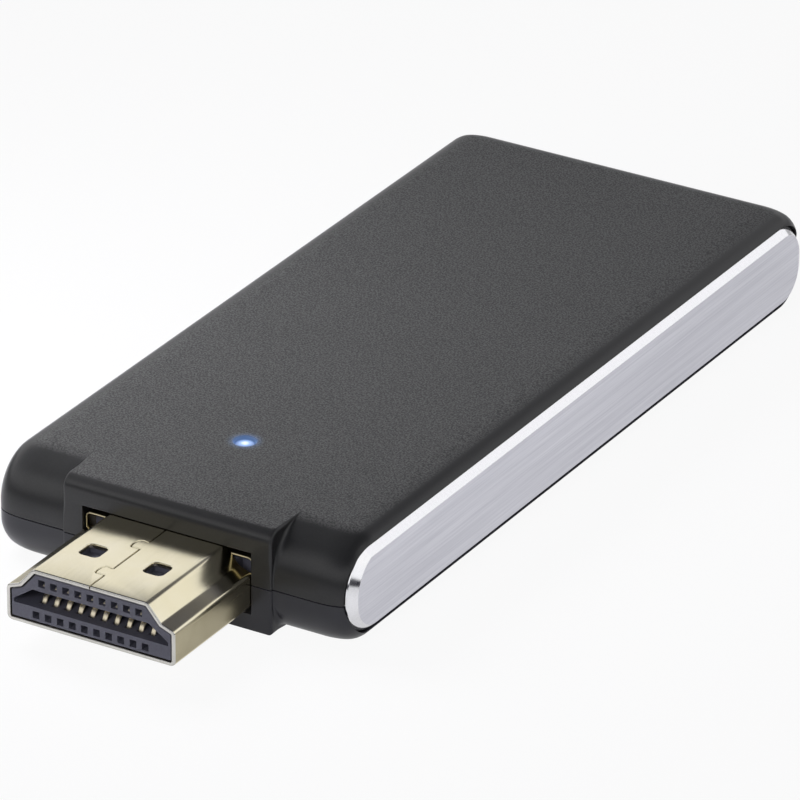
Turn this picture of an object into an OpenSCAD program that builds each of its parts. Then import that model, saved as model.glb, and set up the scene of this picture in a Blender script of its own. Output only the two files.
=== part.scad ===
// Streaming media stick: a two-shell plastic case with a metal side trim and an HDMI plug.
// X runs across the case, Y from the plug to the tail, Z up. The origin is the middle of
// the outline on the surface that the stick lies on.

/* [Case] */
// Length of the case from the front of its ears to its tail
body_l = 66.8; // [60:0.2:80]
// Width over the virtual edges of the rounded flanks
body_w = 29.9; // [28.7:0.2:34]
// Height of the case
body_h = 8.3; // [8:0.1:10]
// Wall of both shells
wall = 1.1; // [0.9:0.05:1.3]
// Height of the line where the two shells meet, above the board's underside
parting_h = 0.5; // [0.3:0.05:0.7]
// Radius of the edge between the flanks and the top, bottom and ends
edge_r = 1.9; // [1.5:0.1:2.2]
// Radius of the rolled front below
front_low_r = 3.1; // [2.5:0.1:3.4]
// Upright length left between the two radii of the rolled front
front_flat = 1.1; // [0.8:0.1:1.6]
// Radius of the rolled tail above
tail_top_r = 2.8; // [2.4:0.1:3.4]
// Radius of the rolled tail below
tail_low_r = 3.2; // [2.5:0.1:3.4]
// Open line left between the shells
seam_gap = 0.08; // [0.05:0.01:0.12]

/* [Plug block] */
// Width of the square block round the plug
block_w = 17.3; // [16.8:0.1:18]
// How far the block stands in front of the ears
block_out = 0.2; // [0.1:0.05:0.6]
// How far the block's underside is above the case's underside
block_lift = 0.25; // [0.1:0.05:0.5]
// Fillet on the block's top front edge
block_fillet = 1; // [0.5:0.1:1.4]
// Gap between the plug and the sides of its opening
opening_gap = 0.05; // [0.04:0.01:0.1]
// Gap between the plug and the floor of its opening
opening_drop = 0.35; // [0.2:0.05:0.4]

/* [Side trim] */
// Thickness of the trim plate, whose face is flush with the flank
trim_t = 0.95; // [0.85:0.05:1.1]
// Bevel round the face of the trim plate
trim_bevel = 0.56; // [0.3:0.02:0.6]
// Distance from the ends of the case to the ends of the trim
trim_end = 0.53; // [0.4:0.01:1]
// Distance from the top of the case down to the trim
trim_drop = 0.92; // [0.8:0.02:1.2]
// Distance from the underside of the case up to the trim
trim_lift = 0.86; // [0.8:0.02:1.2]
// Gap round the trim in its pocket
trim_gap = 0.1; // [0.06:0.01:0.12]
// Thickness of the adhesive tape behind the trim
tape_t = 0.1; // [0.05:0.05:0.15]
// Wall left between the pocket and the inside
flank_wall = 1.25; // [1.1:0.05:1.4]

/* [HDMI plug] */
// Width of the plug's shell
plug_w = 13.9; // [13.8:0.05:14]
// Height of the plug's shell
plug_h = 4.45; // [4.4:0.01:4.55]
// Width of the narrow top of the shell
plug_top_w = 9.44; // [9:0.02:9.8]
// Length of shell in front of the block
plug_out = 9.85; // [8.5:0.05:11]
// Height of the middle of the plug, as a share of the case's height
plug_mid_share = 0.49; // [0.48:0.002:0.5]
// Sheet thickness of the shell
plug_t = 0.3; // [0.25:0.01:0.35]
// Distance between neighbouring contacts of one row
contact_pitch = 1; // [0.98:0.01:1.02]
// Contacts in the row on the narrow side
upper_count = 9; // [7:1:9]
// Contacts in the row on the wide side
lower_count = 10; // [8:1:10]
// Width of one contact
contact_w = 0.3; // [0.25:0.01:0.35]
// Sheet thickness of a contact
contact_t = 0.2; // [0.15:0.01:0.22]

/* [Board] */
// Thickness of the main board
board_t = 1; // [0.9:0.05:1.1]
// Gap between the micro USB socket on the board and the inside of the top
roof_gap = 0.4; // [0.3:0.05:0.5]
// Gap between the board's long edges and the inside of the case
board_side_gap = 0.4; // [0.3:0.05:0.6]
// Width of a memory chip, beside which the square processor fills the board's width
memory_w = 7.5; // [6:0.5:8]
// Height of the processor
processor_h = 1.2; // [1:0.1:1.4]
// Thickness of the metal heat spreader
spreader_t = 0.4; // [0.3:0.05:0.6]
// Shank radius of a board screw
screw_r = 0.8; // [0.7:0.05:0.9]

/* [Tail] */
// Width of the micro USB socket
usb_w = 7.5; // [7.3:0.1:7.7]
// Height of the micro USB socket
usb_h = 2.5; // [2.4:0.05:2.6]
// Length of the micro USB socket
usb_l = 5; // [4.8:0.1:5.6]
// Place of the mode button, as a share of the way from the middle to the inside of the flank
button_share = 0.6614; // [0.62:0.0002:0.68]
// Width of the mode button
button_w = 3; // [2.6:0.1:3.4]
// Height of the mode button
button_h = 1.3; // [1.1:0.05:1.4]
// Travel of the mode button
button_travel = 0.25; // [0.15:0.05:0.3]

/* [Status light] */
// Radius of the hole over the status light
light_r = 0.8; // [0.6:0.05:1]
// Distance of the light behind the ears
light_y = 11; // [9.5:0.5:14]
// Place of the light across the case, with less than zero to the left of the middle
light_x = -0.45; // [-1:0.05:0]
// How far the light pipe's end lies below the top face
light_sink = 0.35; // [0.2:0.05:0.5]

/* [Hidden] */
$fn = 48;

over = 1;
lap = 0.1;

// Case
case_r = [body_h - front_flat - front_low_r, front_low_r, tail_top_r, tail_low_r];
half_w = body_w / 2;
inner_top = body_h - wall;
inner_tail = body_l - wall;
trim_x = half_w - trim_t;
pocket_x = trim_x - tape_t;
cavity_x = pocket_x - flank_wall;
left_x = half_w - wall;
inner_sides = [[0, cavity_x], [1, left_x]];
board_top = inner_top - roof_gap - usb_h;
board_z = board_top - board_t;
parting_z = board_z + parting_h;
total_l = plug_out + block_out + body_l;
front_y = plug_out + block_out - total_l / 2;
tongue_t = 0.45;
tongue_h = 0.9;
tongue_gap = 0.05;
tongue_end = 6;
rib_t = 0.8;
rib_h = 0.6;
rib_shares = [0.27, 0.62, 0.86];

// Side trim
trim_l = body_l - 2 * trim_end;
trim_h = body_h - trim_drop - trim_lift;
trim_front_flat = 0.27;
trim_front_low_r = 3.05;
trim_tail_flat = 0.82;
trim_tail_low_r = 2.9;
trim_r = [
    trim_h - trim_front_flat - trim_front_low_r, trim_front_low_r,
    trim_h - trim_tail_flat - trim_tail_low_r, trim_tail_low_r];

// HDMI plug, with heights counted from the underside of its shell
plug_y = -block_out - plug_out;
plug_z = plug_mid_share * body_h - plug_h / 2;
side_h = 2.72;
step_h = 3.12;
step_w = 11.7;
plug_corner_r = 0.45;
corner_steps = 4;
plug_outline = [
    [-plug_w / 2, 0], [plug_w / 2, 0], [plug_w / 2, side_h], [step_w / 2, step_h],
    [plug_top_w / 2, plug_h], [-plug_top_w / 2, plug_h], [-step_w / 2, step_h],
    [-plug_w / 2, side_h]];
window_w = 1.7;
window_l = 2.1;
window_r = 0.4;
window_x = 2.65;
window_y = 4.7;
seam_w = 0.08;
tab_w = 0.7;
tab_flare = 0.3;
tab_l = 0.7;
tab_y = 1.9;
tab_pitch = 5;
frame_set = 0.3;
frame_t = 0.25;
frame_h = 3.95;
frame_y = frame_set - block_out;
frame_end = 5.2;
insulator_set = 0.2;
slot_low = 1.39;
slot_high = 2.89;
slot_w = 12.7;
slot_top_w = 9.8;
slot_foot = 0.5;
slot_l = 7.5;
pocket_w = 0.55;
pocket_l = 1.2;
upper_pocket_z = 3.6;
lower_pocket_z = 0.95;
neck_w = 11;
neck_low = 0.7;
neck_high = 3.5;
neck_l = 1;
contact_set = 0.18;
contact_gap = 0.04;
channel_start = 1.1;
lower_z = slot_low - contact_set;
upper_z = slot_high + contact_set;
tip_start = 1.4;
tip_h = 0.08;
crest_start = 2.1;
crest_side_h = 0.62;
crest_y = 2.6;
crest_h = 0.72;
crest_end = 3.1;
beam_start = 4.6;
tail_bend = 0.5;
tail_l = 1.6;

// Board, with places as shares of its half width and of its length
board_half = cavity_x - board_side_gap;
board_w = 2 * board_half;
board_tail_gap = 0.5;
board_front_gap = 0.6;
board_front = frame_end + board_front_gap;
board_l = inner_tail - board_tail_gap - board_front;
under_h = board_z - wall;
post_r = 1.8;
post_root = 0.5;
bore_gap = 0.05;
bore_floor = 0.5;
hole_gap = 0.1;
head_r = 1.4;
head_h = 0.7;
pin_r = 1;
screw_edge = 1.72;
screw_x = board_half - screw_edge;
screw_shares = [0.065, 0.68];
pin_shares = [0.2];
chip_edge = 2;
chip_gap = 1.1;
processor_w = board_w - memory_w - chip_gap - 2 * chip_edge;
processor_x = chip_edge + processor_w / 2 - board_half;
processor_share = 0.46;
memory_size = [memory_w, 9, 1];
memory_shares = [0.37, 0.56];
memory_x = board_half - chip_edge - memory_size.x / 2;
flash_size = [11.5, 13, 0.7];
flash_share = [0, 0.46];
regulator_size = [3, 3, 0.8];
regulator_shares = [[-0.2, 0.17], [0.3, 0.17]];
inductor_w = 3;
inductor_h = 1.5;
inductor_corner = 0.7;
inductor_shares = [[-0.72, 0.27], [-0.38, 0.27], [-0.04, 0.27]];
capacitor_size = [1.6, 0.8, 0.8];
capacitor_gap = 0.8;
capacitor_row = 4;
crystal_size = [3.2, 2.5, 0.8];
crystal_share = [-0.3, 0.65];
chip_size = [6, 6, 0.8];
shield_size = [11, 10, 1.6];
shield_t = 0.2;
shield_gap = 1;
antenna_size = [2, 6, 1.1];
antenna_edge = 0.5;
antenna_gap = 0.6;
antenna_x = antenna_edge + antenna_size.x / 2 - board_half;
antenna_share = 0.93;
shield_x = antenna_x + (antenna_size.x + shield_size.x) / 2 + antenna_gap;
pad_inset = 0.5;
spreader_shares = [0.9, 0.27, 0.72];

// Status light
led_size = [1.6, 0.8, 0.65];
pipe_gap = 0.05;
pipe_lift = 0.15;
pipe_flange = 0.45;
pipe_flange_t = 0.4;
sleeve_t = 0.8;
sleeve_h = 0.9;
sleeve_z = inner_top - sleeve_h;

// Micro USB socket
usb_t = 0.25;
usb_set = 0.55;
usb_gap = 0.25;
usb_cut = 0.9;
usb_side_h = 1.1;
usb_y = body_l - usb_set;
usb_outline = [
    [usb_cut - usb_w / 2, 0], [usb_w / 2 - usb_cut, 0], [usb_w / 2, usb_side_h],
    [usb_w / 2, usb_h], [-usb_w / 2, usb_h], [-usb_w / 2, usb_side_h]];
usb_back_l = 1.2;
tongue_w = 3.9;
tongue_z = 1.35;
tongue_thick = 0.6;
tongue_set = 0.5;
usb_contact_size = [0.3, 2.6, 0.12];
usb_pitch = 0.65;
usb_contacts_count = 5;
usb_tail_l = 0.8;
shield_y = usb_y - usb_l - usb_tail_l - shield_gap - shield_size.y / 2;

// Mode button and its switch
button_gap = 0.12;
button_lift = 0.15;
button_sink = 0.1;
flange_side = 0.6;
flange_t = 0.6;
flange_gap = 0.1;
button_r = 0.4;
button_x = button_share * cavity_x;
button_z = board_top + button_lift + button_h / 2;
flange_y = inner_tail - flange_gap - flange_t;
switch_size = [3.6, 2.4, 1.7];
switch_gap = 0.45;
switch_y = flange_y - switch_gap;
plunger_w = 1.4;
plunger_h = 0.7;
plunger_in = 0.4;
plunger_gap = 0.1;

// Unit vector along v
function unit(v) = v / norm(v);
// v turned a quarter turn to the left
function left_of(v) = [-v.y, v.x];
// v turned by a degrees
function turned(v, a) = [v.x * cos(a) - v.y * sin(a), v.x * sin(a) + v.y * cos(a)];
// Point i of a closed outline, counted round it
function at(pts, i) = pts[(i + len(pts)) % len(pts)];
// Direction of the edge that leaves point i
function edge(pts, i) = unit(at(pts, i + 1) - at(pts, i));
// Offset of a corner, per unit, between two edge directions
function corner(a, b) = (left_of(a) + left_of(b)) / (1 + a * b);
// A closed outline with every edge moved in by d
function inset(pts, d) = [
    for (i = [0:len(pts) - 1]) pts[i] + d * corner(edge(pts, i - 1), edge(pts, i))];
// A closed outline with every corner rounded to radius r
function softened(pts, r) = [
    for (i = [0:len(pts) - 1])
        let (a = edge(pts, i - 1), b = edge(pts, i), turn = atan2(a.x * b.y - a.y * b.x, a * b))
        let (side = sign(turn), hub = pts[i] + side * r * corner(a, b))
        for (k = [0:corner_steps])
            hub - turned(side * r * left_of(a), turn * k / corner_steps)];
// An open path moved to its left by d
function beside(path, d) = [
    for (i = [0:len(path) - 1])
        let (a = unit(path[max(i, 1)] - path[max(i, 1) - 1]))
        let (b = unit(path[min(i + 1, len(path) - 1)] - path[min(i, len(path) - 2)]))
        path[i] + d * corner(a, b)];
function reversed(pts) = [for (i = [len(pts) - 1:-1:0]) pts[i]];
// A ribbon of width w along an open path
function ribbon(path, w) = concat(beside(path, -w / 2), reversed(beside(path, w / 2)));
// A place on the board from its shares
function on_board(share) = [share.x * board_half, board_front + share.y * board_l];

module from_front() {
    translate([0, front_y, 0]) children();
}

// Both sides of the board, at shares of its length
module at_edges(shares) {
    for (side = [-1, 1], share = shares)
        translate([side * screw_x, board_front + share * board_l, 0]) children();
}

module along_x(from, to) {
    translate([from, 0, 0]) rotate([90, 0, 90]) linear_extrude(to - from) children();
}

module along_y(from, to) {
    translate([0, to, 0]) rotate([90, 0, 0]) linear_extrude(to - from) children();
}

// A block centred on x and y that stands on z = 0
module chip(size) {
    translate([-size.x / 2, -size.y / 2, 0]) cube(size);
}

module soft_rect(w, h, r) {
    translate([-w / 2, r - h / 2]) square([w, h - 2 * r]);
    translate([r - w / 2, -h / 2]) square([w - 2 * r, h]);
    for (x = [-1, 1], y = [-1, 1]) translate([x * (w / 2 - r), y * (h / 2 - r)]) circle(r);
}

// What a round corner of radius r takes off the corner of a square at the origin
module corner_waste(r) {
    difference() {
        translate([-over, -over]) square(r + over);
        translate([r, r]) circle(r);
    }
}

// A side view with its four corners rounded: front top, front low, tail top, tail low
module side_outline(l, h, r) {
    difference() {
        square([l, h]);
        translate([0, h]) mirror([0, 1]) corner_waste(r[0]);
        corner_waste(r[1]);
        translate([l, h]) mirror([0, 1]) mirror([1, 0]) corner_waste(r[2]);
        translate([l, 0]) mirror([1, 0]) corner_waste(r[3]);
    }
}

module rim_turn(turn, r) {
    rotate([turn, 0, 0]) rotate([0, 90, 0]) rotate_extrude(angle = 90) translate([r, 0]) children();
}

module rim_run(turn, l) {
    rotate([turn, 0, 0]) rotate([0, 90, 0]) rotate([90, 0, 0]) linear_extrude(l) children();
}

// A slab between two x values with a profile swept round its side outline. The profile's rim
// is on x = 0, and it reaches a lap further than depth so that it runs into the slab's core.
module rolled_slab(l, h, r, depth, from, to) {
    translate([0, r[0], h - r[0]]) rim_turn(180, r[0]) children();
    translate([0, r[1], r[1]]) rim_turn(270, r[1]) children();
    translate([0, l - r[2], h - r[2]]) rim_turn(90, r[2]) children();
    translate([0, l - r[3], r[3]]) rim_turn(0, r[3]) children();
    translate([0, r[0], h]) rim_run(180, l - r[0] - r[2]) children();
    translate([0, l - r[3], 0]) rim_run(0, l - r[1] - r[3]) children();
    translate([0, l, h - r[2]]) rim_run(90, h - r[2] - r[3]) children();
    translate([0, 0, r[1]]) rim_run(270, h - r[0] - r[1]) children();
    translate([0, depth, depth]) along_x(from, to)
        side_outline(l - 2 * depth, h - 2 * depth, [for (q = r) q - depth]);
}

module flank_profile() {
    translate([-edge_r - lap, -half_w]) square([lap, body_w]);
    intersection() {
        translate([-edge_r, -half_w]) square([edge_r, body_w]);
        union() {
            translate([-edge_r, edge_r - half_w]) square([edge_r, body_w - 2 * edge_r]);
            for (side = [-1, 1]) translate([-edge_r, side * (half_w - edge_r)]) circle(edge_r);
        }
    }
}

module block_outline() {
    difference() {
        translate([-block_out, block_lift])
            square([block_out + case_r[0], body_h - block_lift]);
        translate([-block_out, body_h]) mirror([0, 1]) corner_waste(block_fillet);
    }
}

module case_solid() {
    rolled_slab(body_l, body_h, case_r, edge_r, -half_w, half_w) flank_profile();
    along_x(-block_w / 2, block_w / 2) block_outline();
}

module trim_outline(grow) {
    translate([trim_end - grow, trim_lift - grow])
        side_outline(trim_l + 2 * grow, trim_h + 2 * grow, [for (q = trim_r) q + grow]);
}

// Everything that is hollow in both shells
module case_hollow() {
    along_x(-left_x, cavity_x) translate([wall, wall])
        side_outline(body_l - 2 * wall, body_h - 2 * wall, [for (q = case_r) q - wall]);
    translate([-plug_w / 2 - opening_gap, -block_out - over, plug_z - opening_drop])
        cube([plug_w + 2 * opening_gap, over + block_out + case_r[0],
            plug_h + opening_drop + opening_gap]);
    along_x(pocket_x, half_w + over) trim_outline(trim_gap);
}

module tail_openings() {
    translate([-usb_w / 2 - usb_gap, inner_tail - over, board_top - usb_gap])
        cube([usb_w + 2 * usb_gap, wall + 2 * over, usb_h + 2 * usb_gap]);
    translate([button_x, 0, button_z]) along_y(inner_tail - over, body_l + over)
        soft_rect(button_w + 2 * button_gap, button_h + 2 * button_gap, button_r + button_gap);
}

module top_cover() {
    color("#454547") from_front() difference() {
        union() {
            difference() {
                case_solid();
                case_hollow();
                tail_openings();
            }
            at_edges(pin_shares) translate([0, 0, board_top])
                cylinder(r = pin_r, h = inner_top + post_root - board_top);
            translate([light_x, light_y, sleeve_z])
                cylinder(r = light_r + sleeve_t, h = sleeve_h + post_root);
        }
        translate([-half_w - over, plug_y, -over])
            cube([body_w + 2 * over, total_l + over, parting_z + seam_gap / 2 + over]);
        for (side = inner_sides) mirror([side[0], 0, 0])
            translate([side[1] - over, tongue_end - tongue_gap, parting_z - over])
                cube([over + tongue_t + 2 * tongue_gap, body_l - 2 * tongue_end + 2 * tongue_gap,
                    over + tongue_h + tongue_gap]);
        translate([light_x, light_y, sleeve_z - over])
            cylinder(r = light_r, h = body_h - sleeve_z + 2 * over);
    }
}

module bottom_cover() {
    color("#3c3c3f") from_front() {
        difference() {
            union() {
                difference() {
                    case_solid();
                    case_hollow();
                }
                at_edges(screw_shares) translate([0, 0, wall - post_root])
                    cylinder(r = post_r, h = under_h + post_root);
                for (share = rib_shares)
                    translate([-left_x - tongue_gap, share * body_l - rib_t / 2, wall - post_root])
                        cube([left_x + cavity_x + 2 * tongue_gap, rib_t, rib_h + post_root]);
            }
            translate([-half_w - over, plug_y, parting_z - seam_gap / 2])
                cube([body_w + 2 * over, total_l + over, body_h]);
            at_edges(screw_shares) translate([0, 0, wall + bore_floor])
                cylinder(r = screw_r + bore_gap, h = body_h);
        }
        for (side = inner_sides) mirror([side[0], 0, 0])
            translate([side[1] + tongue_gap, tongue_end, parting_z - tongue_h])
                cube([tongue_t, body_l - 2 * tongue_end, 2 * tongue_h]);
    }
}

module side_trim() {
    color("#c2c3ca") from_front() translate([0, trim_end, trim_lift])
        rolled_slab(trim_l, trim_h, trim_r, trim_bevel, trim_x, trim_x + trim_t)
            polygon([[0, trim_x], [0, trim_x + trim_t - trim_bevel],
                [-trim_bevel, trim_x + trim_t], [-trim_bevel - lap, trim_x + trim_t],
                [-trim_bevel - lap, trim_x]]);
}

module trim_tape() {
    color("#dcdcd8") from_front() along_x(pocket_x, trim_x) trim_outline(-trim_bevel);
}

module light_pipe() {
    color("#dfeaff") from_front() translate([light_x, light_y, 0]) {
        foot_z = board_top + led_size.z + pipe_lift;
        translate([0, 0, foot_z])
            cylinder(r = light_r - pipe_gap, h = body_h - light_sink - foot_z);
        translate([0, 0, sleeve_z - pipe_flange_t])
            cylinder(r = light_r + pipe_flange, h = pipe_flange_t);
    }
}

// The line where the shell's sheet meets itself, with its two interlocking tabs
module shell_seam() {
    path = concat([[0, -over]],
        [for (y = [tab_y, tab_y + tab_pitch]) each
            [[0, y], [-tab_w, y - tab_flare], [-tab_w, y + tab_l + tab_flare], [0, y + tab_l]]],
        [[0, plug_out + frame_set + over]]);
    linear_extrude(plug_t + over) polygon(ribbon(path, seam_w));
}

module shell_windows() {
    for (side = [-1, 1]) translate([side * window_x, window_y, -over])
        linear_extrude(plug_h + 2 * over) soft_rect(window_w, window_l, window_r);
}

module plug_shell() {
    color("#dcd3b2") from_front() difference() {
        translate([0, 0, plug_z]) along_y(plug_y, frame_y)
            polygon(softened(plug_outline, plug_corner_r));
        translate([0, 0, plug_z]) along_y(plug_y - over, frame_y + over)
            polygon(softened(inset(plug_outline, plug_t), plug_corner_r - plug_t));
        translate([0, plug_y, plug_z + plug_h - plug_t]) shell_seam();
        translate([0, plug_y, plug_z]) shell_windows();
    }
}

module plug_frame() {
    color("#c9bb8c") from_front() translate([0, 0, plug_z]) difference() {
        translate([-plug_w / 2, frame_y, 0]) cube([plug_w, frame_end - frame_y, frame_h]);
        translate([frame_t - plug_w / 2, frame_y - over, frame_t])
            cube([plug_w - 2 * frame_t, frame_end - frame_y + 2 * over, frame_h - 2 * frame_t]);
    }
}

function row_x(count) = [for (i = [0:count - 1]) (i - (count - 1) / 2) * contact_pitch];

module contact_channels(count, z, slot_side) {
    channel_w = contact_w + 2 * contact_gap;
    for (x = row_x(count)) translate([x - channel_w / 2, plug_y + channel_start, z]) {
        translate([0, 0, -contact_t / 2 - contact_gap])
            cube([channel_w, frame_end - plug_y, contact_t + 2 * contact_gap]);
        translate([0, 0, min(0, slot_side * contact_set)])
            cube([channel_w, slot_l - channel_start, contact_set]);
    }
}

module front_pockets(count, z) {
    for (x = row_x(count)) translate([x - pocket_w / 2, plug_y - over, z - pocket_w / 2])
        cube([pocket_w, over + insulator_set + pocket_l, pocket_w]);
}

module plug_insulator() {
    color("#4c4f5f") from_front() translate([0, 0, plug_z]) difference() {
        union() {
            along_y(plug_y + insulator_set, frame_y)
                polygon(softened(inset(plug_outline, plug_t), plug_corner_r - plug_t));
            translate([-neck_w / 2, frame_y, neck_low])
                cube([neck_w, neck_l, neck_high - neck_low]);
            translate([frame_t - plug_w / 2, frame_y + neck_l, frame_t])
                cube([plug_w - 2 * frame_t, frame_end - frame_y - neck_l, frame_h - 2 * frame_t]);
        }
        along_y(plug_y - over, plug_y + slot_l)
            polygon([[-slot_w / 2, slot_low], [slot_w / 2, slot_low],
                [slot_w / 2, slot_low + slot_foot], [slot_top_w / 2, slot_high],
                [-slot_top_w / 2, slot_high], [-slot_w / 2, slot_low + slot_foot]]);
        contact_channels(lower_count, lower_z, 1);
        contact_channels(upper_count, upper_z, -1);
        front_pockets(lower_count, lower_pocket_z);
        front_pockets(upper_count, upper_pocket_z);
    }
}

// A row of contacts: a sprung tip in the slot, a beam, and a tail soldered to the board
module contact_row(count, z, rise, tail_z) {
    path = [
        [plug_y + tip_start, z + rise * tip_h],
        [plug_y + crest_start, z + rise * crest_side_h],
        [plug_y + crest_y, z + rise * crest_h], [plug_y + crest_end, z + rise * crest_side_h],
        [plug_y + beam_start, z], [frame_end, z], [frame_end + tail_bend, tail_z],
        [frame_end + tail_l, tail_z]];
    for (x = row_x(count)) translate([0, 0, plug_z])
        along_x(x - contact_w / 2, x + contact_w / 2) polygon(ribbon(path, contact_t));
}

module upper_contacts() {
    color("#e2cf9c") from_front()
        contact_row(upper_count, upper_z, -1, board_top + contact_t / 2 - plug_z);
}

module lower_contacts() {
    color("#e2cf9c") from_front()
        contact_row(lower_count, lower_z, 1, board_z - contact_t / 2 - plug_z);
}

module main_board() {
    color("#1f4a35") from_front() difference() {
        translate([-board_half, board_front, board_z]) cube([board_w, board_l, board_t]);
        at_edges(screw_shares) translate([0, 0, board_z - over])
            cylinder(r = screw_r + hole_gap, h = board_t + 2 * over);
    }
}

module on_top(share) {
    from_front() translate(on_board(share)) translate([0, 0, board_top]) children();
}

// The middle of the processor on the board
module at_processor() {
    from_front() translate([processor_x, board_front + processor_share * board_l, board_top])
        children();
}

module processor() {
    color("#232327") at_processor() chip([processor_w, processor_w, processor_h]);
}

module memory_chips() {
    color("#26262a") from_front() for (share = memory_shares)
        translate([memory_x, board_front + share * board_l, board_top]) chip(memory_size);
}

module flash_chip() {
    color("#26262a") on_top(flash_share) translate([0, 0, -board_t - flash_size.z]) chip(flash_size);
}

module voltage_regulators() {
    color("#2a2a2e") for (share = regulator_shares) on_top(share) chip(regulator_size);
}

module power_inductors() {
    color("#55565a") for (share = inductor_shares) on_top(share)
        linear_extrude(inductor_h) soft_rect(inductor_w, inductor_w, inductor_corner);
}

module capacitors() {
    row_y = processor_w / 2 + capacitor_gap + capacitor_size.y / 2;
    pitch = processor_w / capacitor_row;
    color("#a08a6c") at_processor() for (side = [-1, 1], i = [0:capacitor_row - 1])
        translate([(i - (capacitor_row - 1) / 2) * pitch, side * row_y, 0]) chip(capacitor_size);
}

module crystal() {
    color("#c8c8c4") on_top(crystal_share) chip(crystal_size);
}

module under_shield() {
    from_front() translate([shield_x, shield_y, board_top]) children();
}

module wifi_chip() {
    color("#232327") under_shield() chip(chip_size);
}

module wifi_shield() {
    color("#b9bbbd") under_shield() difference() {
        chip(shield_size);
        translate([0, 0, -shield_t])
            chip([shield_size.x - 2 * shield_t, shield_size.y - 2 * shield_t, shield_size.z]);
    }
}

module antenna() {
    color("#e6e2d6") from_front()
        translate([antenna_x, board_front + antenna_share * board_l, board_top]) chip(antenna_size);
}

module status_led() {
    color("#e8eefc") from_front() translate([light_x, light_y, board_top]) chip(led_size);
}

module thermal_pad() {
    color("#8f9bb0") at_processor() translate([0, 0, processor_h])
        chip([processor_w - 2 * pad_inset, processor_w - 2 * pad_inset,
            inner_top - spreader_t - board_top - processor_h]);
}

module heat_spreader() {
    spread_w = spreader_shares[0] * board_w;
    color("#a9abad") from_front()
        translate([-spread_w / 2, board_front + spreader_shares[1] * board_l, inner_top - spreader_t])
            cube([spread_w, (spreader_shares[2] - spreader_shares[1]) * board_l, spreader_t]);
}

module board_screws() {
    shank_l = board_top - wall - bore_floor;
    color("#8d8e90") from_front() at_edges(screw_shares) translate([0, 0, board_top]) {
        translate([0, 0, -shank_l]) cylinder(r = screw_r, h = shank_l);
        cylinder(r = head_r, h = head_h);
    }
}

module usb_shell() {
    color("#b4b6b8") from_front() translate([0, 0, board_top]) difference() {
        along_y(usb_y - usb_l, usb_y) polygon(usb_outline);
        along_y(usb_y - usb_l - over, usb_y + over) polygon(inset(usb_outline, usb_t));
    }
}

module usb_insulator() {
    color("#1d1d20") from_front() translate([0, 0, board_top]) {
        along_y(usb_y - usb_l, usb_y - usb_l + usb_back_l) polygon(inset(usb_outline, usb_t));
        translate([-tongue_w / 2, usb_y - usb_l + usb_back_l, tongue_z])
            cube([tongue_w, usb_l - usb_back_l - tongue_set, tongue_thick]);
    }
}

module usb_contacts() {
    color("#d8c48c") from_front()
        for (i = [0:usb_contacts_count - 1])
            translate([(i - (usb_contacts_count - 1) / 2) * usb_pitch, usb_y - usb_l, board_top]) {
                translate([0, usb_back_l + usb_contact_size.y / 2, tongue_z - usb_contact_size.z])
                    chip(usb_contact_size);
                translate([0, -usb_tail_l / 2, 0])
                    chip([usb_contact_size.x, usb_tail_l, usb_t + usb_contact_size.z]);
            }
}

module mode_button() {
    color("#2f2f32") from_front() translate([button_x, 0, button_z]) {
        along_y(flange_y + flange_t, body_l - button_sink) soft_rect(button_w, button_h, button_r);
        translate([-button_w / 2 - flange_side, flange_y, -button_h / 2])
            cube([button_w + 2 * flange_side, flange_t, button_h]);
    }
}

module switch_body() {
    color("#c9cacc") from_front() difference() {
        translate([button_x - switch_size.x / 2, switch_y - switch_size.y, board_top])
            cube(switch_size);
        translate([button_x - plunger_w / 2 - plunger_gap,
            switch_y - plunger_in - button_travel - plunger_gap,
            button_z - plunger_h / 2 - plunger_gap])
            cube([plunger_w + 2 * plunger_gap, plunger_in + button_travel + plunger_gap + over,
                plunger_h + 2 * plunger_gap]);
    }
}

module switch_plunger() {
    color("#efefec") from_front()
        translate([button_x - plunger_w / 2, switch_y - plunger_in, button_z - plunger_h / 2])
            cube([plunger_w, plunger_in + switch_gap, plunger_h]);
}

top_cover();
bottom_cover();
side_trim();
trim_tape();
light_pipe();
plug_shell();
plug_frame();
plug_insulator();
upper_contacts();
lower_contacts();
main_board();
processor();
memory_chips();
flash_chip();
voltage_regulators();
power_inductors();
capacitors();
crystal();
wifi_chip();
wifi_shield();
antenna();
status_led();
thermal_pad();
heat_spreader();
board_screws();
usb_shell();
usb_insulator();
usb_contacts();
mode_button();
switch_body();
switch_plunger();
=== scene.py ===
import math

import bmesh
import bpy
from mathutils import Euler, Matrix, Vector


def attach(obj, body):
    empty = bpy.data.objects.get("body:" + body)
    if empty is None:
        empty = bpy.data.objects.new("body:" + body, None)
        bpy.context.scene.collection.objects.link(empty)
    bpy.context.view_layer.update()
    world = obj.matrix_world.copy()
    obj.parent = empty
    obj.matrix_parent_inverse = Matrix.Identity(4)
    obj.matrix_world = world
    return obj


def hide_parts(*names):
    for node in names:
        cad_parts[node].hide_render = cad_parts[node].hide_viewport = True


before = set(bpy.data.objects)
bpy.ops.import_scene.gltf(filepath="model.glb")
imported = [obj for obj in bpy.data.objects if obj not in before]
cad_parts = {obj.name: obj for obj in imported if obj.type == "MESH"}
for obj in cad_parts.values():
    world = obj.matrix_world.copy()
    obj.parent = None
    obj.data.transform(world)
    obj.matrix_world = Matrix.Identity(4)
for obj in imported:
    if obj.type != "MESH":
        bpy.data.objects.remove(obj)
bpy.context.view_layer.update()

scene = bpy.context.scene


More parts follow.
